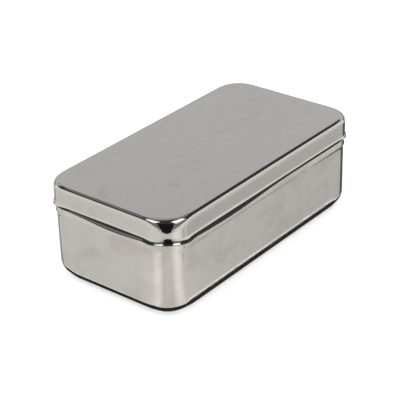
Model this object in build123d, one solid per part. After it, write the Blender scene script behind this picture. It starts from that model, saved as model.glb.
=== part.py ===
from build123d import *
import math
import os

os.makedirs("parts", exist_ok=True)

# Stainless steel instrument box: a drawn body and a lift-off drawn lid.
# Millimetres. Origin at the centre of the underside, +X along the box, +Z up.

# Driving dimensions of the lid
lid_length = 204.0            # outside the skirt
lid_width = 107.0             # outside the skirt
box_height = 68.5             # table to the top of the closed lid
plan_corner_radius = 16.5     # outside the skirt, seen from above
lid_sheet = 0.7
lid_edge_radius = 2.6         # rounding between the flat top and the skirt
lid_depth = 15.4              # top of the lid down to the lowest point of its lip

# The lip kicks out below the skirt
lip_radius = 2.0
lip_angle = 55.0              # lean of the lip
lip_flange = 1.0              # straight part of the lip, out to its cut edge

# Driving dimensions of the body
body_sheet = 0.7
wall_inset = 1.0              # outside of the wall, inside the outside of the skirt
base_radius = 6.5             # rounding between the floor and the walls
rim_below_top = 7.0           # rim below the top of the closed lid

# The shoulder that the lip closes over
crest_proud = 0.75            # crest of the shoulder outside the wall
foot_radius = 8.0             # hollow sweep from the wall out to the crest
crest_radius = 3.5
shoulder_slope = 5.7          # from the crest up to the rim the body leans in this far from upright
seat_gap = 0.3                # between the shoulder and the underside of the lip

# Corner centres: every wall, shoulder and skirt turns round the same four axes
corner_x = lid_length / 2 - plan_corner_radius
corner_y = lid_width / 2 - plan_corner_radius

# Distances out from a corner axis
wall_outside = plan_corner_radius - wall_inset
crest_outside = wall_outside + crest_proud

RIGHT_HAND, LEFT_HAND = -1, 1


def sheet_section(start, heading, moves, thickness, hand):
    """Cross-section of a drawn sheet.

    One skin starts at start and follows the moves, each a straight length or a bend of (radius, degrees),
    where a bend to the left is positive. The other skin lies one thickness away on the given hand, so the
    sheet stays equally thick through every bend.
    """
    skins = []
    ends = []
    normal = Vector(0, 0, hand).cross(heading)
    for aside in (0.0, thickness):
        here = Vector(*start) + normal * aside
        along = heading
        skin = []
        for move in moves:
            if isinstance(move, tuple):
                radius, turn = move
                bend_radius = radius - aside * hand * math.copysign(1, turn)
                piece = JernArc(here, along, bend_radius, turn)
            else:
                piece = Line(here, here + along * move)
            here = piece @ 1
            along = piece % 1
            skin += piece.edges()
        skins.append(skin)
        ends.append(here)
    near_end = Line(Vector(*start), Vector(*start) + normal * thickness)
    cut_edge = Line(*ends)
    return Plane.XZ * make_face(skins[0] + skins[1] + near_end.edges() + cut_edge.edges())


def drawn_shell(section, panel_bottom, thickness):
    """Carry a section along the four sides and round the four corner axes, and close it with a flat panel."""
    shell = Pos(0, 0, panel_bottom + thickness / 2) * Box(2 * corner_x, 2 * corner_y, thickness)
    corner = revolve(section, Axis.Z, revolution_arc=90)
    for side_x, side_y, quarter in ((1, 1, 0), (-1, 1, 90), (-1, -1, 180), (1, -1, 270)):
        shell += Pos(side_x * corner_x, side_y * corner_y) * Rot(0, 0, quarter) * corner
    for facing in (0, 180):
        shell += Rot(0, 0, facing) * Pos(corner_x, 0) * extrude(section, corner_y, both=True)
        shell += Rot(0, 0, facing + 90) * Pos(corner_y, 0) * extrude(section, corner_x, both=True)
    return shell


# Lid section. The lowest point of the lip is the inner corner of its cut edge.
lip_lean = math.radians(lip_angle)
lip_height = (lip_radius + lid_sheet) * math.sin(lip_lean) + lip_flange * math.cos(lip_lean)
skirt_straight = lid_depth - lid_edge_radius - lip_height

lid_section = sheet_section(
    (0, box_height),
    Vector(1, 0),
    [
        plan_corner_radius - lid_edge_radius,
        (lid_edge_radius, -90),
        skirt_straight,
        (lip_radius, lip_angle),
        lip_flange,
    ],
    lid_sheet,
    RIGHT_HAND,
)
lid = drawn_shell(lid_section, box_height - lid_sheet, lid_sheet)

# The shoulder nests in the lip: its straight slope lies one seat gap from the lip's inner skin.
lip_centre_out = plan_corner_radius + lip_radius
lip_centre_z = box_height - lid_edge_radius - skirt_straight
slope_sin = math.sin(math.radians(shoulder_slope))
slope_cos = math.cos(math.radians(shoulder_slope))
centres_apart = lip_radius + lid_sheet + seat_gap + crest_radius
centres_out = lip_centre_out - (crest_outside - crest_radius)
crest_z = lip_centre_z - (centres_apart - centres_out * slope_cos) / slope_sin

# Body section: tangent bends carry the wall out to the crest and back into the shoulder.
foot_angle = math.degrees(math.acos(1 - crest_proud / (foot_radius + crest_radius)))
foot_z = crest_z - (foot_radius + crest_radius) * math.sin(math.radians(foot_angle))
rim_z = box_height - rim_below_top
shoulder_length = (rim_z - crest_z - crest_radius * slope_sin) / slope_cos

body_section = sheet_section(
    (0, 0),
    Vector(1, 0),
    [
        wall_outside - base_radius,
        (base_radius, 90),
        foot_z - base_radius,
        (foot_radius, -foot_angle),
        (crest_radius, foot_angle + shoulder_slope),
        shoulder_length,
    ],
    body_sheet,
    LEFT_HAND,
)
box_body = drawn_shell(body_section, 0, body_sheet)

print("foot", round(foot_z, 2), "crest", round(crest_z, 2), "rim", rim_z)
print("skirt straight", round(skirt_straight, 2), "shoulder length", round(shoulder_length, 2))
for name, piece in (("box_body", box_body), ("lid", lid)):
    export_step(piece, f"parts/{name}.step")
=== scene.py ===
import math

import bpy
from mathutils import Matrix, Vector


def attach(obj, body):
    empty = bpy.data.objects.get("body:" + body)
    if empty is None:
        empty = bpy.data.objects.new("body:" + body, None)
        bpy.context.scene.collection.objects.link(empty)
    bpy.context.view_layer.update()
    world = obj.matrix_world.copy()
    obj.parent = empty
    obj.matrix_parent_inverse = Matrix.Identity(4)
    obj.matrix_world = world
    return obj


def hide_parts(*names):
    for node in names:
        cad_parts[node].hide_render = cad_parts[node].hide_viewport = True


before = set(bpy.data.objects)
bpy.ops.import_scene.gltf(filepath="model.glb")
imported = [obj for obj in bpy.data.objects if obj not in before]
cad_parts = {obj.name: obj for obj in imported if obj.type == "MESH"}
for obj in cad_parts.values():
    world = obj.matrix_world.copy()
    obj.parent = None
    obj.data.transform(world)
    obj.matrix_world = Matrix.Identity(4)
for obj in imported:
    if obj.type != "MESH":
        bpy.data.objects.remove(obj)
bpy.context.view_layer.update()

# A closed instrument box of polished stainless sheet: a drawn body and a drawn lid that lifts off.
# Metres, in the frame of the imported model.

MM = 0.001
NEAR = 0.001 * MM             # two places closer than this are one

# Plan of the box: every bend runs along the sides and turns round four corner axes
LID_LENGTH = 204 * MM         # outside the skirt
LID_WIDTH = 107 * MM          # outside the skirt
PLAN_RADIUS = 16.5 * MM       # outside the skirt, seen from above
CORNER_X = LID_LENGTH / 2 - PLAN_RADIUS
CORNER_Y = LID_WIDTH / 2 - PLAN_RADIUS
BOX_HEIGHT = 68.5 * MM
SHEET = 0.7 * MM

# Steps of the mesh
CORNER_STEPS = 40             # round a quarter turn of the plan
DEGREES_PER_STEP = 3.0        # along a bend of the section
FEWEST_BEND_STEPS = 3
SIDE_STEPS = 8                # along half of a side, twice
CORNER_BLEND = 9 * MM         # how far the corners of the top edge blend into the sides
SKIRT_STEPS = 8               # down the lid's skirt
FLANGE_STEPS = 2              # across the straight part of the lip
WALL_STEPS = 6                # up the body's wall
SHOULDER_STEPS = 4            # up the body's shoulder
PANEL_RINGS = (0.3 * MM, 2 * MM, 6 * MM)  # insets that keep a flat panel flat up to its edge

# Cut edges of the sheet
EDGE_EASE = 0.15 * MM
EASE_STEPS = 2
CUT_ANGLE = math.radians(50)  # edges sharper than this are cut edges
SMOOTH_ANGLE = math.radians(40)


def deselect_all():
    if bpy.context.object and bpy.context.object.mode != "OBJECT":
        bpy.ops.object.mode_set(mode="OBJECT")
    bpy.ops.object.select_all(action="DESELECT")


def start_point(name, place):
    """A plane drawn down to one point at place, left in edit mode with that point selected."""
    deselect_all()
    bpy.ops.mesh.primitive_plane_add(size=MM, location=place)
    bpy.ops.object.transform_apply(location=True, rotation=True, scale=True)
    piece = bpy.context.object
    piece.name = name
    piece.data.name = name
    bpy.ops.object.mode_set(mode="EDIT")
    bpy.ops.mesh.select_mode(type="VERT")
    bpy.ops.mesh.select_all(action="SELECT")
    bpy.ops.mesh.merge(type="CENTER")
    return piece


def extrude_by(move):
    """Extrude the selected vertices by a move."""
    bpy.ops.mesh.extrude_vertices_move(TRANSFORM_OT_translate={"value": move})


def draw_straight(heading, length, steps=1):
    """Extrude the section on along its heading, in degrees up from the outward direction."""
    step = length / steps
    for _ in range(steps):
        extrude_by((step * math.cos(math.radians(heading)), 0, step * math.sin(math.radians(heading))))


def draw_bend(heading, radius, turn):
    """Extrude the section round a bend, a turn to the left being positive, and give its new heading."""
    steps = max(FEWEST_BEND_STEPS, round(abs(turn) / DEGREES_PER_STEP))
    part = turn / steps
    chord = 2 * radius * math.sin(math.radians(abs(part)) / 2)
    for _ in range(steps):
        draw_straight(heading + part / 2, chord)
        heading += part
    return heading


def select_where(piece, test):
    """Select the vertices of a piece whose place passes the test."""
    bpy.ops.mesh.select_all(action="DESELECT")
    bpy.ops.object.mode_set(mode="OBJECT")
    for vertex in piece.data.vertices:
        vertex.select = test(vertex.co)
    bpy.ops.object.mode_set(mode="EDIT")


def spin_all(centre, degrees, steps):
    """Spin the whole drawing round a vertical axis, from +X towards +Y."""
    bpy.ops.mesh.select_all(action="SELECT")
    bpy.ops.mesh.spin(steps=steps, angle=math.radians(degrees), center=centre, axis=(0, 0, -1))


def sweep_quarter(piece):
    """Carry the drawn section round one corner and along half of both sides."""
    spin_all((CORNER_X, CORNER_Y, 0), 90, CORNER_STEPS)
    select_where(piece, lambda place: abs(place.y - CORNER_Y) < NEAR)
    extrude_side(Vector((0, -1, 0)), CORNER_Y)
    select_where(piece, lambda place: abs(place.x - CORNER_X) < NEAR and place.y > CORNER_Y + NEAR)
    extrude_side(Vector((-1, 0, 0)), CORNER_X)
    bpy.ops.object.mode_set(mode="OBJECT")


def extrude_side(heading, length):
    """Half of a side: short steps where the corner blends in, then longer ones to the middle."""
    for part in (CORNER_BLEND, length - CORNER_BLEND):
        for _ in range(SIDE_STEPS):
            move = heading * (part / SIDE_STEPS)
            bpy.ops.mesh.extrude_region_move(TRANSFORM_OT_translate={"value": move})


def mirror_plan(piece):
    finish_with(piece, "MIRROR", use_axis=(True, True, False), merge_threshold=NEAR)


def close_panel(piece, level):
    """Fill the flat panel that a section starts from, with rings that keep it flat up to its edge."""
    bpy.ops.object.mode_set(mode="EDIT")
    select_where(piece, lambda place: abs(place.z - level) < NEAR)
    bpy.ops.mesh.edge_face_add()
    bpy.ops.mesh.select_mode(type="FACE")
    for width in PANEL_RINGS:
        bpy.ops.mesh.inset(thickness=width, depth=0)
    bpy.ops.mesh.select_mode(type="VERT")
    bpy.ops.mesh.select_all(action="SELECT")
    bpy.ops.mesh.remove_doubles(threshold=NEAR)
    bpy.ops.mesh.normals_make_consistent(inside=False)
    bpy.ops.object.mode_set(mode="OBJECT")


def finish_with(piece, kind, **settings):
    """Add one modifier, set it and apply it."""
    deselect_all()
    piece.select_set(True)
    bpy.context.view_layer.objects.active = piece
    modifier = piece.modifiers.new(kind.lower(), kind)
    for key, value in settings.items():
        setattr(modifier, key, value)
    bpy.ops.object.modifier_apply(modifier=modifier.name)


def thicken(piece, finishes):
    """Give the sheet its thickness inward, ease its cut edges and smooth all but those.

    The finishes are for the outside, the inside and the cut edge.
    """
    for finish in finishes:
        piece.data.materials.append(finish)
    finish_with(
        piece,
        "SOLIDIFY",
        thickness=SHEET,
        offset=-1,
        use_even_offset=True,
        use_quality_normals=True,
        material_offset=1,
        material_offset_rim=2,
    )
    finish_with(
        piece,
        "BEVEL",
        width=EDGE_EASE,
        segments=EASE_STEPS,
        limit_method="ANGLE",
        angle_limit=CUT_ANGLE,
    )
    bpy.ops.object.shade_smooth_by_angle(angle=SMOOTH_ANGLE)


# Places in plan, used to shape the corners of both pieces


def absolute(place):
    return Vector((abs(place.x), abs(place.y)))


def plan_normal(place):
    """Where a place lies in plan, mirrored into the first quarter.

    Gives the outward direction, its foot on the frame of the corner axes, and whether the place is in the
    quarter of the near corner.
    """
    across = absolute(place)
    foot = Vector((min(across.x, CORNER_X), min(across.y, CORNER_Y)))
    if across.x <= CORNER_X:
        foot.y = CORNER_Y
    elif across.y <= CORNER_Y:
        foot.x = CORNER_X
    return (across - foot).normalized(), foot, place.x < 0 and place.y < 0


def put_at(vertex, foot, outward, reach):
    """Move a vertex in plan to a reach from its foot, back in its own quarter."""
    vertex.co.x = math.copysign(foot.x + outward.x * reach, vertex.co.x)
    vertex.co.y = math.copysign(foot.y + outward.y * reach, vertex.co.y)


def flat_reach(foot, outward, straight, wide):
    """Distance from the foot to the edge of a flat panel along a normal of the plan.

    The edge runs at the straight distance along the sides and has the wide radius at the corners.
    """
    centre = Vector((CORNER_X + straight - wide, CORNER_Y + straight - wide))
    across = foot - centre
    if across.x < 0 or across.y < 0:
        return straight
    along = across.dot(outward)
    return math.sqrt(along ** 2 - across.length_squared + wide ** 2) - along


# Lid, from the edge of its flat top out and down to the lip
LID_EDGE_RADIUS = 2.6 * MM
FLAT_PLAN_RADIUS = 20.5 * MM  # corner of the flat top, wider than the corner of the skirt
CORNER_DROP = 2.1             # the corner's rounding grows this many times as much in height as in plan
CORNER_LIP_RADIUS = 5.4 * MM  # sweep of the lip at the very corner
OTHER_CORNERS = 0.25          # how much of this growth the three corners other than the near one have
LIP_TUCK = 0.7 * MM           # how far the lip lies closer to the body at those three
CREASE = 33.0                 # degrees by which the flat top breaks into the rounding at the very corner
LID_DEPTH = 15.4 * MM
LIP_RADIUS = 2.0 * MM
LIP_ANGLE = 55.0
LIP_FLANGE = 1.0 * MM
LIP_LEAN = math.radians(LIP_ANGLE)
LIP_HEIGHT = (LIP_RADIUS + SHEET) * math.sin(LIP_LEAN) + LIP_FLANGE * math.cos(LIP_LEAN)
LIP_DROP = LIP_RADIUS * math.sin(LIP_LEAN) + LIP_FLANGE * math.cos(LIP_LEAN)  # of its outside alone
CORNER_LIP_DROP = CORNER_LIP_RADIUS * math.sin(LIP_LEAN)
LIP_START = BOX_HEIGHT - LID_DEPTH + LIP_HEIGHT  # height where the skirt goes over into the lip
EDGE_END = BOX_HEIGHT - LID_EDGE_RADIUS          # height where the top edge goes over into the skirt
LID_FLAT_OUT = PLAN_RADIUS - LID_EDGE_RADIUS     # from a corner axis to the edge of the flat top
MOST_GROWTH = (math.sqrt(2) - 1) * (FLAT_PLAN_RADIUS - LID_FLAT_OUT)  # of the rounding, at the very corner
SPRING_POWER = 1.5            # how steeply the spring of the lip grows towards its cut edge
LIP_SPRING = {                # by side and whether it is the one at the front: centre, half width, most
    ("long", True): (-46 * MM, 66 * MM, 2.3 * MM),
    ("long", False): (20 * MM, 60 * MM, 0.3 * MM),
    ("end", True): (-8 * MM, 42 * MM, 2.4 * MM),
    ("end", False): (4 * MM, 30 * MM, 0.25 * MM),
}


def draw_lid(finishes):
    piece = start_point("lid_shell", (CORNER_X + LID_FLAT_OUT, CORNER_Y, BOX_HEIGHT))
    heading = draw_bend(0, LID_EDGE_RADIUS, -90)
    draw_straight(heading, LID_DEPTH - LID_EDGE_RADIUS - LIP_HEIGHT, SKIRT_STEPS)
    heading = draw_bend(heading, LIP_RADIUS, LIP_ANGLE)
    draw_straight(heading, LIP_FLANGE, FLANGE_STEPS)
    sweep_quarter(piece)
    mirror_plan(piece)
    shape_corners(piece)
    spring_lip(piece)
    close_panel(piece, BOX_HEIGHT)
    thicken(piece, finishes)
    return piece


def shape_corners(piece):
    """Let the rounding of the top edge and the sweep of the lip grow towards each corner.

    The flat top has the wider radius there and breaks into the rounding with a slight crease, and the two
    sweeps leave only a narrow waist of upright skirt between them. The worn near corner has it in full.
    """
    for vertex in piece.data.vertices:
        outward, foot, near = plan_normal(vertex.co)
        full_growth = max(0, LID_FLAT_OUT - flat_reach(foot, outward, LID_FLAT_OUT, FLAT_PLAN_RADIUS))
        growth = full_growth * (1 if near else OTHER_CORNERS)
        share = growth / MOST_GROWTH
        drop = growth * CORNER_DROP
        waist_low = LIP_START + share * (CORNER_LIP_DROP - LIP_DROP)
        reach, height = (absolute(vertex.co) - foot).length, vertex.co.z
        if height >= EDGE_END - NEAR:
            start = math.radians(90 - CREASE * share)
            below_top = BOX_HEIGHT - height if BOX_HEIGHT - height > NEAR else 0
            tilt = start * math.asin(max(0, 1 - below_top / LID_EDGE_RADIUS)) / math.radians(90)
            out = (math.cos(tilt) - math.cos(start)) / (1 - math.cos(start))
            down = (math.sin(start) - math.sin(tilt)) / math.sin(start)
            reach = PLAN_RADIUS - (LID_EDGE_RADIUS + growth) * (1 - out)
            height = BOX_HEIGHT - (LID_EDGE_RADIUS + drop) * down
        elif height >= LIP_START - NEAR:
            up = (height - LIP_START) / (EDGE_END - LIP_START)
            height = waist_low + up * (EDGE_END - drop - waist_low)
        else:
            along = (LIP_START - height) / LIP_DROP
            swept = PLAN_RADIUS + CORNER_LIP_RADIUS * (1 - math.cos(along * LIP_LEAN))
            low = waist_low - CORNER_LIP_RADIUS * math.sin(along * LIP_LEAN)
            tucked = 0 if near else LIP_TUCK * full_growth / MOST_GROWTH * along ** 2
            reach += share * (swept - reach) - tucked
            height += share * (low - height)
        put_at(vertex, foot, outward, reach)
        vertex.co.z = height


def spring_lip(piece):
    """The lip has sprung away from the body a little between the corners, most on the two worn sides."""
    lean_out, lean_down = math.sin(LIP_LEAN), math.cos(LIP_LEAN)
    for vertex in piece.data.vertices:
        if vertex.co.z > LIP_START:
            continue
        weight = ((LIP_START - vertex.co.z) / LIP_HEIGHT) ** SPRING_POWER
        on_long_side = CORNER_Y + PLAN_RADIUS - abs(vertex.co.y) < CORNER_X + PLAN_RADIUS - abs(vertex.co.x)
        along, across = (vertex.co.x, vertex.co.y) if on_long_side else (vertex.co.y, vertex.co.x)
        centre, half_width, most = LIP_SPRING["long" if on_long_side else "end", across < 0]
        off = abs(along - centre) / half_width
        if off >= 1:
            continue
        bow = most * weight * (1 + math.cos(math.pi * off)) / 2
        out = math.copysign(bow * lean_out, across)
        if on_long_side:
            vertex.co.y += out
        else:
            vertex.co.x += out
        vertex.co.z -= bow * lean_down


# Body, from the edge of its flat bottom out and up to the rim
WALL_INSET = 1.0 * MM         # outside of the wall, inside the outside of the skirt
WALL_OUT = PLAN_RADIUS - WALL_INSET
BASE_RADIUS = 6.5 * MM
BODY_FLAT_OUT = WALL_OUT - BASE_RADIUS  # from a corner axis to the edge of the flat bottom
CREST_PROUD = 0.75 * MM       # crest of the shoulder outside the wall
CREST_HEIGHT = 48.05 * MM
FOOT_RADIUS = 7.0 * MM        # hollow sweep from the wall out to the crest
CREST_RADIUS = 2.4 * MM
SHOULDER_SLOPE = 5.7          # degrees that the shoulder leans in on its way up
RIM_BELOW_TOP = 7.0 * MM
RIM_HEIGHT = BOX_HEIGHT - RIM_BELOW_TOP
BOTTOM_PLAN_RADIUS = 18.0 * MM  # corner of the flat bottom, wider than the rounding leaves it
NEAR_BOTTOM = 0.5             # how much of that growth the near corner has


def draw_body(finishes):
    foot_angle = math.acos(1 - CREST_PROUD / (FOOT_RADIUS + CREST_RADIUS))
    foot_height = CREST_HEIGHT - (FOOT_RADIUS + CREST_RADIUS) * math.sin(foot_angle)
    foot_turn = math.degrees(foot_angle)
    slope = math.radians(SHOULDER_SLOPE)
    shoulder_length = (RIM_HEIGHT - CREST_HEIGHT - CREST_RADIUS * math.sin(slope)) / math.cos(slope)
    piece = start_point("body_shell", (CORNER_X + BODY_FLAT_OUT, CORNER_Y, 0))
    heading = draw_bend(0, BASE_RADIUS, 90)
    draw_straight(heading, foot_height - BASE_RADIUS, WALL_STEPS)
    heading = draw_bend(heading, FOOT_RADIUS, -foot_turn)
    heading = draw_bend(heading, CREST_RADIUS, foot_turn + SHOULDER_SLOPE)
    draw_straight(heading, shoulder_length, SHOULDER_STEPS)
    sweep_quarter(piece)
    mirror_plan(piece)
    round_bottom_corners(piece, foot_height)
    close_panel(piece, 0)
    thicken(piece, finishes)
    return piece


def round_bottom_corners(piece, foot_height):
    """Let the rounding at the bottom grow towards the corners, less at the near one."""
    for vertex in piece.data.vertices:
        outward, foot, near = plan_normal(vertex.co)
        if vertex.co.z > foot_height:
            continue
        growth = max(0, BODY_FLAT_OUT - flat_reach(foot, outward, BODY_FLAT_OUT, BOTTOM_PLAN_RADIUS))
        grown = BASE_RADIUS + growth * (NEAR_BOTTOM if near else 1)
        if vertex.co.z > BASE_RADIUS:
            up = (vertex.co.z - BASE_RADIUS) / (foot_height - BASE_RADIUS)
            vertex.co.z = grown + up * (foot_height - grown)
            continue
        reach = WALL_OUT - (WALL_OUT - (absolute(vertex.co) - foot).length) * grown / BASE_RADIUS
        put_at(vertex, foot, outward, reach)
        vertex.co.z *= grown / BASE_RADIUS


# Shared effects of the steel
SCRATCH_TURNS = ((17, 9, 31), (-38, 22, -57), (64, -31, 102))  # degrees, one set for each direction
SCRATCH_STRETCH = (1, 14, 14)
POLISH_STRETCH = (1, 60, 60)
STREAK_STRETCH = (1, 1, 0.08)
SPOTLESS = 0.72               # share of the dried drops that left no ring
EFFECTS = {}                  # the node groups, by the name of the function that makes them


def new_effect(name, values):
    """A node group with a Vector input and the named value inputs that puts out a mask."""
    effect = bpy.data.node_groups.new(name, "ShaderNodeTree")
    effect.interface.new_socket("Vector", in_out="INPUT", socket_type="NodeSocketVector")
    for value in values:
        effect.interface.new_socket(value, in_out="INPUT", socket_type="NodeSocketFloat")
    effect.interface.new_socket("Mask", in_out="OUTPUT", socket_type="NodeSocketFloat")
    given, result = effect.nodes.new("NodeGroupInput"), effect.nodes.new("NodeGroupOutput")
    return effect, given.outputs, result.inputs["Mask"]


def noise_in(effect, vector, scale, detail, roughness, distortion=0):
    noise = effect.nodes.new("ShaderNodeTexNoise")
    noise.inputs["Detail"].default_value = detail
    noise.inputs["Roughness"].default_value = roughness
    noise.inputs["Distortion"].default_value = distortion
    effect.links.new(vector, noise.inputs["Vector"])
    effect.links.new(scale, noise.inputs["Scale"])
    return noise.outputs["Fac"]


def ramp_in(effect, value, low, high):
    """Smooth step from 0 at low to 1 at high; low and high are numbers or sockets."""
    ramp = effect.nodes.new("ShaderNodeMapRange")
    ramp.interpolation_type = "SMOOTHSTEP"
    effect.links.new(value, ramp.inputs["Value"])
    for name, end in (("From Min", low), ("From Max", high)):
        if isinstance(end, float):
            ramp.inputs[name].default_value = end
        else:
            effect.links.new(end, ramp.inputs[name])
    return ramp.outputs["Result"]


def math_in(effect, operation, *values):
    """A step of arithmetic on one or two numbers or sockets."""
    step = effect.nodes.new("ShaderNodeMath")
    step.operation = operation
    for socket, value in zip(step.inputs, values):
        if isinstance(value, float):
            socket.default_value = value
        else:
            effect.links.new(value, socket)
    return step.outputs[0]


def stretched_in(effect, vector, stretch, turn=(0, 0, 0)):
    mapping = effect.nodes.new("ShaderNodeMapping")
    mapping.inputs["Rotation"].default_value = [math.radians(angle) for angle in turn]
    mapping.inputs["Scale"].default_value = stretch
    effect.links.new(vector, mapping.inputs["Vector"])
    return mapping.outputs["Vector"]


def noise_effect(name, stretch, detail, roughness, distortion=0):
    """A mask that rises from 0 to 1 as one noise, stretched or not, goes from Low to High."""
    effect, given, mask = new_effect(name, ("Scale", "Low", "High"))
    vector = stretched_in(effect, given["Vector"], stretch) if stretch else given["Vector"]
    noise = noise_in(effect, vector, given["Scale"], detail, roughness, distortion)
    effect.links.new(ramp_in(effect, noise, given["Low"], given["High"]), mask)
    return effect


def cloudy_stain():
    """Clouds of dried wiping water, thin with broken edges."""
    return noise_effect("cloudy_stain", None, detail=7, roughness=0.62, distortion=0.6)


def polish_lines():
    """Fine parallel lines that the polishing wheel leaves along the box."""
    return noise_effect("polish_lines", POLISH_STRETCH, detail=3, roughness=0.7)


def wipe_streaks():
    """Upright streaks down the walls."""
    return noise_effect("wipe_streaks", STREAK_STRETCH, detail=4, roughness=0.6, distortion=0.3)


def stray_scratches():
    """Single hairlines from handling, in three directions, each short and faint."""
    effect, given, mask = new_effect("stray_scratches", ("Scale", "Width"))
    total = None
    for turn in SCRATCH_TURNS:
        along = stretched_in(effect, given["Vector"], SCRATCH_STRETCH, turn)
        cells = effect.nodes.new("ShaderNodeTexVoronoi")
        cells.feature = "DISTANCE_TO_EDGE"
        effect.links.new(along, cells.inputs["Vector"])
        effect.links.new(given["Scale"], cells.inputs["Scale"])
        line = ramp_in(effect, cells.outputs["Distance"], given["Width"], 0.0)
        where = noise_in(effect, along, given["Scale"], detail=2, roughness=0.5)
        part = math_in(effect, "MULTIPLY", line, ramp_in(effect, where, low=0.55, high=0.68))
        total = part if total is None else math_in(effect, "MAXIMUM", total, part)
    effect.links.new(total, mask)
    return effect


def water_spots():
    """Rings where drops dried, thinly scattered."""
    effect, given, mask = new_effect("water_spots", ("Scale", "Radius", "Line"))
    drops = effect.nodes.new("ShaderNodeTexVoronoi")
    effect.links.new(given["Vector"], drops.inputs["Vector"])
    effect.links.new(given["Scale"], drops.inputs["Scale"])
    off_ring = math_in(effect, "SUBTRACT", drops.outputs["Distance"], given["Radius"])
    ring = ramp_in(effect, math_in(effect, "ABSOLUTE", off_ring), given["Line"], 0.0)
    split = effect.nodes.new("ShaderNodeSeparateColor")
    effect.links.new(drops.outputs["Color"], split.inputs["Color"])
    few = math_in(effect, "GREATER_THAN", split.outputs["Red"], SPOTLESS)
    effect.links.new(math_in(effect, "MULTIPLY", ring, few), mask)
    return effect


# Materials: the roughness of the clean steel, and the colours of the steel and of what lies on it
POLISHED, SATIN, GROUND = 0.065, 0.26, 0.25
STAIN_SOFTNESS = 0.2          # of the noise, from the first trace of a stain to its full tone
COOL_STEEL = (0.625, 0.618, 0.592)
WARM_STEEL = (0.615, 0.603, 0.570)
CLOUD_STAIN = (0.52, 0.496, 0.458)
FINE_STAIN = (0.55, 0.54, 0.52)
WIPED_STEEL = (0.70, 0.685, 0.66)
BRIGHT_SCRATCH = (0.74, 0.73, 0.71)
DRIED_DROP = (0.50, 0.485, 0.46)
SATIN_STEEL = (0.60, 0.59, 0.57)
SATIN_STAIN = (0.53, 0.515, 0.49)
SATIN_GRAIN = (0.66, 0.65, 0.63)
SATIN_SCRATCH = (0.72, 0.71, 0.69)
SATIN_DROP = (0.48, 0.46, 0.43)
GROUND_STEEL = (0.55, 0.54, 0.52)
GRIND_MARK = (0.68, 0.67, 0.65)
DARK_NICK = (0.40, 0.385, 0.36)


def new_material(name):
    material = bpy.data.materials.new(name)
    material.use_nodes = True
    return material, material.node_tree, material.node_tree.nodes["Principled BSDF"]


def new_steel(name):
    """A metallic material, with the Object coordinates that its effects read."""
    material, tree, shader = new_material(name)
    shader.inputs["Metallic"].default_value = 1
    return material, tree, shader, tree.nodes.new("ShaderNodeTexCoord").outputs["Object"]


def use_effect(tree, make, place, **values):
    """Put a shared effect in a material with that material's own values."""
    name = make.__name__
    if name not in EFFECTS:
        EFFECTS[name] = make()
    node = tree.nodes.new("ShaderNodeGroup")
    node.node_tree = EFFECTS[name]
    tree.links.new(place, node.inputs["Vector"])
    for key, value in values.items():
        node.inputs[key.capitalize()].default_value = value
    return node.outputs["Mask"]


def lay_over(tree, colour, over, mask, strength):
    """A colour with a second one laid over it where the mask says, at some strength."""
    amount = tree.nodes.new("ShaderNodeMath")
    amount.operation = "MULTIPLY"
    amount.inputs[1].default_value = strength
    tree.links.new(mask, amount.inputs[0])
    mix = tree.nodes.new("ShaderNodeMix")
    mix.data_type = "RGBA"
    tree.links.new(amount.outputs[0], mix.inputs["Factor"])
    mix.inputs["B"].default_value = (*over, 1)
    if isinstance(colour, tuple):
        mix.inputs["A"].default_value = (*colour, 1)
    else:
        tree.links.new(colour, mix.inputs["A"])
    return mix.outputs["Result"]


def add_up(tree, start, *parts):
    """A value made of a start and of masks, each times its strength."""
    total = None
    for mask, strength in parts:
        step = tree.nodes.new("ShaderNodeMath")
        step.operation = "MULTIPLY_ADD"
        step.inputs[1].default_value = strength
        tree.links.new(mask, step.inputs[0])
        if total is None:
            step.inputs[2].default_value = start
        else:
            tree.links.new(total, step.inputs[2])
        total = step.outputs[0]
    return total


def add_bump(tree, height, distance, strength, normal=None):
    bump = tree.nodes.new("ShaderNodeBump")
    bump.inputs["Distance"].default_value = distance
    bump.inputs["Strength"].default_value = strength
    tree.links.new(height, bump.inputs["Height"])
    if normal:
        tree.links.new(normal, bump.inputs["Normal"])
    return bump.outputs["Normal"]


def finish_steel(tree, shader, colour, roughness, normal):
    tree.links.new(colour, shader.inputs["Base Color"])
    tree.links.new(roughness, shader.inputs["Roughness"])
    tree.links.new(normal, shader.inputs["Normal"])


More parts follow.
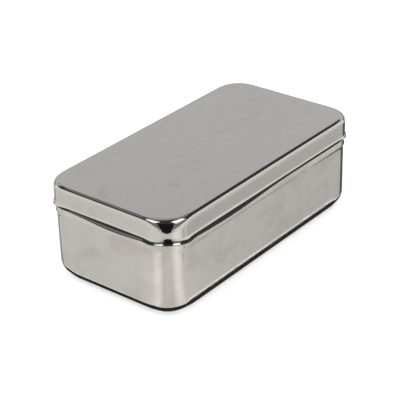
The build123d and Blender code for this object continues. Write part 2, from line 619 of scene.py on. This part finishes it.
def polished_outside(name, stain_low, streak_strength):
    """Drawn sheet polished on the outside: cloudy water stains, streaks, hairlines and a slight waviness."""
    material, tree, shader, place = new_steel(name)
    clouds = use_effect(tree, cloudy_stain, place, scale=42, low=stain_low, high=stain_low + STAIN_SOFTNESS)
    fine_clouds = use_effect(tree, cloudy_stain, place, scale=190, low=0.45, high=0.75)
    patches = use_effect(tree, cloudy_stain, place, scale=11, low=0.35, high=0.65)
    streaks = use_effect(tree, wipe_streaks, place, scale=150, low=0.5, high=0.8)
    lines = use_effect(tree, polish_lines, place, scale=34, low=0.35, high=0.8)
    scratches = use_effect(tree, stray_scratches, place, scale=34, width=0.012)
    spots = use_effect(tree, water_spots, place, scale=120, radius=0.3, line=0.05)
    colour = lay_over(tree, WARM_STEEL, COOL_STEEL, patches, strength=1)
    colour = lay_over(tree, colour, CLOUD_STAIN, clouds, strength=0.6)
    colour = lay_over(tree, colour, FINE_STAIN, fine_clouds, strength=0.34)
    colour = lay_over(tree, colour, WIPED_STEEL, streaks, streak_strength)
    colour = lay_over(tree, colour, BRIGHT_SCRATCH, scratches, strength=0.25)
    colour = lay_over(tree, colour, DRIED_DROP, spots, strength=0.14)
    roughness = add_up(
        tree,
        POLISHED,
        (clouds, 0.05),
        (fine_clouds, 0.02),
        (lines, 0.03),
        (scratches, 0.12),
        (spots, 0.08),
        (streaks, 0.03),
    )
    normal = add_bump(tree, patches, distance=0.05 * MM, strength=0.6)
    normal = add_bump(tree, fine_clouds, distance=0.006 * MM, strength=0.5, normal=normal)
    normal = add_bump(tree, scratches, distance=0.004 * MM, strength=0.4, normal=normal)
    finish_steel(tree, shader, colour, roughness, normal)
    return material


def satin_inside():
    """The inside keeps the dull face of the sheet, rubbed by the instruments."""
    material, tree, shader, place = new_steel("satin_inside")
    clouds = use_effect(tree, cloudy_stain, place, scale=60, low=0.42, high=0.7)
    grain = use_effect(tree, cloudy_stain, place, scale=2600, low=0.3, high=0.7)
    scratches = use_effect(tree, stray_scratches, place, scale=60, width=0.02)
    spots = use_effect(tree, water_spots, place, scale=90, radius=0.34, line=0.06)
    colour = lay_over(tree, SATIN_STEEL, SATIN_STAIN, clouds, strength=0.5)
    colour = lay_over(tree, colour, SATIN_GRAIN, grain, strength=0.25)
    colour = lay_over(tree, colour, SATIN_SCRATCH, scratches, strength=0.4)
    colour = lay_over(tree, colour, SATIN_DROP, spots, strength=0.2)
    roughness = add_up(tree, SATIN, (clouds, 0.07), (grain, 0.05), (scratches, 0.12), (spots, 0.08))
    normal = add_bump(tree, grain, distance=0.006 * MM, strength=0.5)
    normal = add_bump(tree, scratches, distance=0.006 * MM, strength=0.5, normal=normal)
    finish_steel(tree, shader, colour, roughness, normal)
    return material


def ground_edge():
    """The cut edge, ground across the sheet and worn bright."""
    material, tree, shader, place = new_steel("ground_edge")
    grind = use_effect(tree, cloudy_stain, place, scale=5200, low=0.3, high=0.7)
    nicks = use_effect(tree, cloudy_stain, place, scale=700, low=0.58, high=0.7)
    colour = lay_over(tree, GROUND_STEEL, GRIND_MARK, grind, strength=0.5)
    colour = lay_over(tree, colour, DARK_NICK, nicks, strength=0.5)
    roughness = add_up(tree, GROUND, (grind, 0.12), (nicks, 0.12))
    normal = add_bump(tree, grind, distance=0.01 * MM, strength=0.5)
    finish_steel(tree, shader, colour, roughness, normal)
    return material


# Camera: azimuths run from +X towards +Y, in degrees as elevations are
CAMERA_AZIMUTH = -140.766
CAMERA_ELEVATION = 28.359
CAMERA_ROLL = -1.706
CAMERA_AIM = Vector((-2.138, 4.131, 26.0)) * MM
CAMERA_DISTANCE = 931.458 * MM
LENS, SENSOR = 121.497, 36    # millimetres, as a camera counts them
NEAREST_SEEN, FARTHEST_SEEN = 0.01, 100


def direction(azimuth, elevation):
    turn, rise = math.radians(azimuth), math.radians(elevation)
    return Vector((math.cos(turn) * math.cos(rise), math.sin(turn) * math.cos(rise), math.sin(rise)))


def photo_camera():
    data = bpy.data.cameras.new("photo_camera")
    data.lens = LENS
    data.sensor_width = SENSOR
    data.clip_start = NEAREST_SEEN
    data.clip_end = FARTHEST_SEEN
    camera = bpy.data.objects.new("photo_camera", data)
    bpy.context.scene.collection.objects.link(camera)
    back = direction(CAMERA_AZIMUTH, CAMERA_ELEVATION)
    roll = Matrix.Rotation(math.radians(CAMERA_ROLL), 4, "Z")
    turn = back.to_track_quat("Z", "Y").to_matrix().to_4x4() @ roll
    camera.matrix_world = Matrix.Translation(CAMERA_AIM + back * CAMERA_DISTANCE) @ turn
    bpy.context.scene.camera = camera


# Studio: a pale floor, a white world, two lamps, and cards that only the polished metal sees
FRONT = CAMERA_AZIMUTH        # the open side of the set
WHITE = (1, 1, 1)
WARM = (1, 0.965, 0.945)      # the floor as the metal shows it
DARK_ROOM = 0.045
BLACK = 0.012
FLOOR_SIZE = 24
FLOOR_GREY = 0.76             # what lights the box from below
FLOOR_WHITE = 0.9             # what the camera sees, which keeps the box's shadow
FLOOR_LIFT = 0.38             # and this much glow with it, for the camera alone
FLOOR_ROUGHNESS = 0.9


def plain_floor():
    """A floor that is white for the camera, keeps the box's shadow and lights the box as a greyer one."""
    deselect_all()
    bpy.ops.mesh.primitive_plane_add(size=FLOOR_SIZE, location=(0, 0, 0))
    floor = bpy.context.object
    floor.name = "studio_floor"
    material, tree, shader = new_material("pale_floor")
    shader.inputs["Roughness"].default_value = FLOOR_ROUGHNESS
    shader.inputs["Specular IOR Level"].default_value = 0
    shader.inputs["Emission Color"].default_value = (*WHITE, 1)
    rays = tree.nodes.new("ShaderNodeLightPath")
    shade = tree.nodes.new("ShaderNodeMix")
    shade.data_type = "RGBA"
    shade.inputs["A"].default_value = (FLOOR_GREY, FLOOR_GREY, FLOOR_GREY, 1)
    shade.inputs["B"].default_value = (FLOOR_WHITE, FLOOR_WHITE, FLOOR_WHITE, 1)
    tree.links.new(rays.outputs["Is Camera Ray"], shade.inputs["Factor"])
    tree.links.new(shade.outputs["Result"], shader.inputs["Base Color"])
    lift = tree.nodes.new("ShaderNodeMath")
    lift.operation = "MULTIPLY"
    lift.inputs[1].default_value = FLOOR_LIFT
    tree.links.new(rays.outputs["Is Camera Ray"], lift.inputs[0])
    tree.links.new(lift.outputs[0], shader.inputs["Emission Strength"])
    floor.data.materials.append(material)


def white_world():
    """White all round, for the light, the camera and the metal alike."""
    world = bpy.data.worlds.new("studio_white")
    bpy.context.scene.world = world
    world.use_nodes = True
    background = world.node_tree.nodes["Background"]
    background.inputs["Color"].default_value = (*WHITE, 1)
    background.inputs["Strength"].default_value = 1


def paint_card(card, radiance, fade_heights=None, tint=WHITE):
    """Make a card glow for polished metal alone; it may fade into the dark room between two heights."""
    material, tree, shader = new_material(card.name)
    tree.nodes.remove(shader)
    glow = tree.nodes.new("ShaderNodeEmission")
    glow.inputs["Strength"].default_value = radiance
    glow.inputs["Color"].default_value = (*tint, 1)
    tree.links.new(glow.outputs["Emission"], tree.nodes["Material Output"].inputs["Surface"])
    if fade_heights:
        place = tree.nodes.new("ShaderNodeTexCoord")
        axes = tree.nodes.new("ShaderNodeSeparateXYZ")
        fade = tree.nodes.new("ShaderNodeMapRange")
        fade.interpolation_type = "SMOOTHSTEP"
        fade.inputs["From Min"].default_value = fade_heights[0]
        fade.inputs["From Max"].default_value = fade_heights[1]
        fade.inputs["To Min"].default_value = radiance
        fade.inputs["To Max"].default_value = DARK_ROOM
        tree.links.new(place.outputs["Object"], axes.inputs[0])
        tree.links.new(axes.outputs["Z"], fade.inputs["Value"])
        tree.links.new(fade.outputs["Result"], glow.inputs["Strength"])
    card.data.materials.append(material)
    card.visible_camera = False
    card.visible_diffuse = False
    card.visible_shadow = False


def close_card():
    """Fill a drawn outline and leave edit mode."""
    bpy.ops.mesh.select_all(action="SELECT")
    bpy.ops.mesh.edge_face_add()
    bpy.ops.object.mode_set(mode="OBJECT")


def floor_place(start, azimuth, distance):
    turn = math.radians(azimuth)
    return start[0] + distance * math.cos(turn), start[1] + distance * math.sin(turn)


# Walls of the set: azimuths in degrees from the front, elevations in degrees
WALLS, PANELS = 2.2, 2.25     # distances from the middle of the box; the panels show past the walls
OPEN_SIDE, OUTER_ROOM = 2.5, 2.6
WALL_END = 125                # where the side walls end and the backdrop starts
HIGH_BACKDROP_START = 171
BACKDROP_END = 235
WALL_BANDS = ((0, 7, 17), (7, 13, 25), (13, 19, 33), (19, 28, 44))  # elevations, and where a band starts
RIGHT_WALL, LEFT_WALL = 1, 0.95  # radiances
RIGHT_FADE, LEFT_FADE = 5, 9  # of the top bands
CARD_STEPS = 48               # round an upright card
CEILING_STEPS = 64            # round a ceiling card
FIGURE_DISTANCE = 2.1
FIGURE_LEVEL = -0.04          # its foot is a little below the floor
FIGURE_HEIGHT = 3.3
FIGURE_FOOT, FIGURE_TOP = 1.12, 2.52  # widths


def reflected_card(name, distance, azimuths, elevations, radiance, fade=0):
    """A curved card round the set, which fades out over the last degrees below its top."""
    first, last = (FRONT + azimuth for azimuth in azimuths)
    low, high = (distance * math.tan(math.radians(elevation)) for elevation in elevations)
    card = start_point(name, (*floor_place((0, 0), first, distance), low))
    extrude_by((0, 0, high - low))
    spin_all((0, 0, 0), last - first, CARD_STEPS)
    bpy.ops.object.mode_set(mode="OBJECT")
    full = distance * math.tan(math.radians(elevations[1] - fade))
    paint_card(card, radiance, (full, high) if fade else None)


def open_side():
    """Dim walls of the room, past the side that the camera looks in from."""
    reflected_card("dark_front", OPEN_SIDE, azimuths=(-90, 90), elevations=(-1, 28), radiance=0.24)
    reflected_card("dim_front", OPEN_SIDE, azimuths=(-68, 68), elevations=(28, 52), radiance=0.24)


def dark_figure():
    """A dark shape that widens upward in the middle of the open side, where the camera stands."""
    middle = floor_place((0, 0), FRONT, FIGURE_DISTANCE)
    across = Vector((-math.sin(math.radians(FRONT)), math.cos(math.radians(FRONT)), 0))
    card = start_point("dark_figure", Vector((*middle, FIGURE_LEVEL)) - across * FIGURE_FOOT / 2)
    rise = across * (FIGURE_TOP - FIGURE_FOOT) / 2 + Vector((0, 0, FIGURE_HEIGHT))
    for step in (across * FIGURE_FOOT, rise, across * -FIGURE_TOP):
        extrude_by(step)
    close_card()
    paint_card(card, BLACK)


def side_walls():
    """Bright walls that start farther from the front the higher they are; the top band fades out."""
    for number, (low, high, start) in enumerate(WALL_BANDS):
        on_top = number == len(WALL_BANDS) - 1
        right_fade, left_fade = (RIGHT_FADE, LEFT_FADE) if on_top else (0, 0)
        right, left = (start, WALL_END), (-WALL_END, -start)
        reflected_card(f"right_wall_{number}", WALLS, right, (low, high), RIGHT_WALL, right_fade)
        reflected_card(f"left_wall_{number}", WALLS, left, (low, high), LEFT_WALL, left_fade)


def backdrop():
    """Grey behind the box, higher on the left, and nearly dark where it meets the floor."""
    behind, high_behind = (WALL_END, BACKDROP_END), (HIGH_BACKDROP_START, BACKDROP_END)
    reflected_card("grey_backdrop", WALLS, azimuths=behind, elevations=(9, 34), radiance=0.63, fade=2)
    reflected_card("high_backdrop", PANELS, azimuths=high_behind, elevations=(33, 44), radiance=0.55, fade=5)
    reflected_card("dim_backdrop", WALLS, azimuths=behind, elevations=(0, 9), radiance=0.05)


def room_beyond():
    """Dim panels above the walls, and the dark room that shows past everything."""
    reflected_card("dim_panel_left", PANELS, azimuths=(-152, -98), elevations=(47, 59), radiance=0.25)
    reflected_card("dim_panel_right", PANELS, azimuths=(106, 136), elevations=(39.5, 46), radiance=0.06)
    reflected_card("dark_band", OUTER_ROOM, azimuths=(-180, 180), elevations=(0, 55), radiance=DARK_ROOM)


def ceiling_card(name, radius, height, radiance, back=0):
    """A round card overhead, as far back from the middle of the set as given."""
    deselect_all()
    middle = (*floor_place((0, 0), FRONT + 180, back), height)
    bpy.ops.mesh.primitive_circle_add(
        radius=radius,
        vertices=CEILING_STEPS,
        fill_type="NGON",
        location=middle,
    )
    card = bpy.context.object
    card.name = name
    paint_card(card, radiance)


def ceiling():
    """A lit ceiling over the back of the set, small enough to show dark all round it."""
    ceiling_card("lit_ceiling", radius=1.4, height=3.35, radiance=0.4, back=1)
    ceiling_card("dark_ceiling", radius=3.2, height=3.4, radiance=DARK_ROOM)


# Floor of the set as the metal sees it: cards that lie on the floor, higher layers over lower ones
FLOOR_CARD_HEIGHT = 0.3 * MM
LIT_FLOOR_SIZE = 1.6
LIT_FLOOR_HEIGHT = FLOOR_CARD_HEIGHT / 3  # below all the others
FULL_TURN = 360
RAMP_MIDDLE = 0.5             # where the front lies on a ramp over the full turn
FLOOR_EDGE = 0.9              # how far out the floor cards reach
FAR_FLOOR = 58 * MM           # from the skirt out to where the lit floor falls off
DIM_WIDTH = 18 * MM           # and from there out to where it is brighter again
DIM_START, BRIGHT_START = 20 * MM, 50 * MM  # where these two start, along from the near corner's axis
FAR_CORNER = 0.2              # and where they end, along the edge of the floor
LEFT_FLOOR = (-190 * MM, -60 * MM)  # corner of the bright floor past the end
FLOOR_LIGHT = (               # by direction from the near corner, in degrees from the front
    (-179, 0.80), (-100, 0.80), (-80, 0.82), (-62, 1.03), (-48, 1.15), (-36, 1.06), (-22, 0.81),
    (14, 0.81), (23, 0.99), (36, 1.15), (52, 1.05), (64, 0.84), (100, 0.75), (130, 0.67), (179, 0.64),
)
FRONT_EDGE = 160 * MM         # from the near corner of the box to the front edge of the set
APRON_DEPTH = 2.0
APRON_SPREAD, MIDDLE_SPREAD = 42, 21  # degrees to either side
END_START, SIDE_START = 4 * MM, 9 * MM  # where the shades start, out from a corner axis
END_REACH, SIDE_REACH = 165 * MM, 125 * MM
END_TURN, SIDE_TURN = -20, 88  # azimuths in which they run on from there
END_WIDENING = 20 * MM
# the bright strip is painted light on the floor, seen as a bright line in the base rounding
BRIGHT_FOOT = (6.4 * MM, 9.2 * MM)  # how far the foot strips go out from the near end and side
# painted contact shadow on the floor, which the base rounding shows as a dark band
CONTACT_SHADE_FOOT = (4.6 * MM, 7.4 * MM)
FAR_FOOT = 6 * MM             # and from the far ones
STRIP_CORNER = 22 * MM
STRIP_STEPS = 16


def floor_card(name, corners, radiance, layer=1.0):
    """A flat card just above the floor that only polished metal sees, drawn through its corners."""
    card = start_point(name, (*corners[0], FLOOR_CARD_HEIGHT * layer))
    for start, end in zip(corners, corners[1:]):
        extrude_by((end[0] - start[0], end[1] - start[1], 0))
    close_card()
    paint_card(card, radiance, tint=WARM)


def lit_floor():
    """What polished metal sees of the floor near the box: brightest either side of the near corner."""
    deselect_all()
    bpy.ops.mesh.primitive_plane_add(size=LIT_FLOOR_SIZE, location=(0, 0, LIT_FLOOR_HEIGHT))
    card = bpy.context.object
    card.name = "lit_floor"
    paint_card(card, radiance=1)
    tree = card.active_material.node_tree
    place = tree.nodes.new("ShaderNodeTexCoord")
    centred = tree.nodes.new("ShaderNodeMapping")
    centred.vector_type = "TEXTURE"
    centred.inputs["Location"].default_value = (-CORNER_X, -CORNER_Y, 0)
    centred.inputs["Rotation"].default_value = (0, 0, math.radians(FRONT))
    tree.links.new(place.outputs["Object"], centred.inputs["Vector"])
    turn = tree.nodes.new("ShaderNodeTexGradient")
    turn.gradient_type = "RADIAL"
    tree.links.new(centred.outputs["Vector"], turn.inputs["Vector"])
    ramp = tree.nodes.new("ShaderNodeValToRGB")
    tree.links.new(turn.outputs["Fac"], ramp.inputs["Fac"])
    stops = ramp.color_ramp.elements
    while len(stops) < len(FLOOR_LIGHT):
        stops.new(RAMP_MIDDLE)
    for stop, (azimuth, level) in zip(stops, FLOOR_LIGHT):
        stop.position = azimuth / FULL_TURN + RAMP_MIDDLE
        stop.color = (*(level * part for part in WARM), 1)
    tree.links.new(ramp.outputs["Color"], tree.nodes["Emission"].inputs["Color"])


def far_floor():
    """Farther from the long side the floor is dimmer, then brighter again, and bright past the end."""
    dim_y = LID_WIDTH / 2 + FAR_FLOOR
    far_side = ((FLOOR_EDGE, -FLOOR_EDGE), (FAR_CORNER, -FLOOR_EDGE))
    dim = ((-CORNER_X + DIM_START, -dim_y), (FLOOR_EDGE, -dim_y), *far_side)
    floor_card("far_floor_right", dim, radiance=0.6)
    bright_y = dim_y + DIM_WIDTH
    bright = ((-CORNER_X + BRIGHT_START, -bright_y), (FLOOR_EDGE, -bright_y), *far_side)
    floor_card("bright_floor_right", bright, radiance=0.84, layer=1.1)
    start_x, start_y = LEFT_FLOOR
    bright = (LEFT_FLOOR, (start_x, FLOOR_EDGE), (-FLOOR_EDGE, FLOOR_EDGE), (-FLOOR_EDGE, start_y))
    floor_card("bright_floor_left", bright, radiance=0.92, layer=1.1)


def front_apron():
    """The set ends in front of the near corner; past that edge the room is dark."""
    middle = floor_place((-CORNER_X, -CORNER_Y), FRONT, PLAN_RADIUS + FRONT_EDGE)
    floor_card("dark_apron", apron_corners(middle, APRON_SPREAD), radiance=0.5)
    floor_card("dark_middle", apron_corners(middle, MIDDLE_SPREAD), radiance=BLACK, layer=1.3)


def apron_corners(middle, spread):
    near_corner = (-CORNER_X, -CORNER_Y)
    return [
        middle,
        floor_place(near_corner, FRONT + spread, APRON_DEPTH),
        floor_place(near_corner, FRONT - spread, APRON_DEPTH),
    ]


def shade_behind():
    """The box's own shade on the floor, away from the lamps."""
    end, side = CORNER_X + PLAN_RADIUS, CORNER_Y + PLAN_RADIUS
    start = (CORNER_X + END_START, -side - MM)
    outer = floor_place(start, END_TURN, END_REACH)
    corners = ((end, side), start, outer, (end + END_REACH, side + END_WIDENING))
    floor_card("shade_end", corners, radiance=0.12, layer=1.2)
    start = (-end - MM, CORNER_Y + SIDE_START)
    outer = floor_place(start, SIDE_TURN, SIDE_REACH)
    corners = ((-CORNER_X / 2, side), start, outer, (0, side + SIDE_REACH))
    floor_card("shade_side", corners, radiance=0.42, layer=1.2)


def foot_strip(name, near_reach, width, radiance, layer):
    """A strip of floor along the foot of the box, a frame open under the flat of the bottom."""
    deselect_all()
    foot_x, foot_y = CORNER_X + WALL_OUT, CORNER_Y + WALL_OUT
    low, high = (-foot_x - near_reach[0], -foot_y - near_reach[1]), (foot_x + FAR_FOOT, foot_y + FAR_FOOT)
    centre = ((low[0] + high[0]) / 2, (low[1] + high[1]) / 2, FLOOR_CARD_HEIGHT * layer)
    bpy.ops.mesh.primitive_plane_add(size=1, location=centre)
    card = bpy.context.object
    card.name = name
    card.scale = (high[0] - low[0], high[1] - low[1], 1)
    bpy.ops.object.transform_apply(location=True, rotation=True, scale=True)
    bpy.ops.object.mode_set(mode="EDIT")
    bpy.ops.mesh.select_all(action="SELECT")
    bpy.ops.mesh.bevel(offset=STRIP_CORNER, affect="VERTICES", segments=STRIP_STEPS)
    bpy.ops.mesh.select_mode(type="FACE")
    bpy.ops.mesh.select_all(action="SELECT")
    bpy.ops.mesh.inset(thickness=width, depth=0)
    bpy.ops.mesh.delete(type="FACE")
    bpy.ops.object.mode_set(mode="OBJECT")
    paint_card(card, radiance)


def foot_strips():
    """Painted contact shadow as a dark line along the foot, and a bright strip of painted light outside it.
    """
    # painted light: a card brighter than the floor round it
    foot_strip("bright_foot", BRIGHT_FOOT, width=5 * MM, radiance=1.15, layer=1.6)
    # painted contact shadow: a near-black card where the foot meets the floor
    foot_strip("painted_contact_shade", CONTACT_SHADE_FOOT, width=8 * MM, radiance=0.03, layer=1.8)


# Lamps
LAMP_ELEVATION = 60
LAMP_DISTANCE = 1.5
LAMP_RADIANCE = 1.7
LAMP_DIFFUSE = 0.3            # how much of it dull surfaces get


def soft_box(name, azimuth, width, height):
    """A rectangular lamp that faces the box, its azimuth from the front."""
    towards = direction(FRONT + azimuth, LAMP_ELEVATION)
    light = bpy.data.lights.new(name, "AREA")
    light.shape = "RECTANGLE"
    light.size = width
    light.size_y = height
    light.energy = LAMP_RADIANCE * math.pi * width * height
    light.diffuse_factor = LAMP_DIFFUSE
    lamp = bpy.data.objects.new(name, light)
    bpy.context.scene.collection.objects.link(lamp)
    lamp.location = towards * LAMP_DISTANCE
    lamp.rotation_mode = "QUATERNION"
    lamp.rotation_quaternion = towards.to_track_quat("Z", "Y")


# The box
photo_camera()
inside, cut_edge = satin_inside(), ground_edge()
lid_outside = polished_outside("lid_outside", stain_low=0.56, streak_strength=0.1)
body_outside = polished_outside("body_outside", stain_low=0.43, streak_strength=0.2)
lid = draw_lid((lid_outside, inside, cut_edge))
body = draw_body((body_outside, inside, cut_edge))
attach(lid, "lid")
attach(body, "body")
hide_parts("lid")
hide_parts("box_body")

# The set
plain_floor()
white_world()
lit_floor()
far_floor()
front_apron()
shade_behind()
foot_strips()
open_side()
dark_figure()
side_walls()
backdrop()
room_beyond()
ceiling()
soft_box("soft_box_left", azimuth=-55, width=0.62, height=0.5)
soft_box("soft_box_right", azimuth=50, width=0.58, height=0.5)

bpy.context.scene.view_settings.view_transform = "Standard"
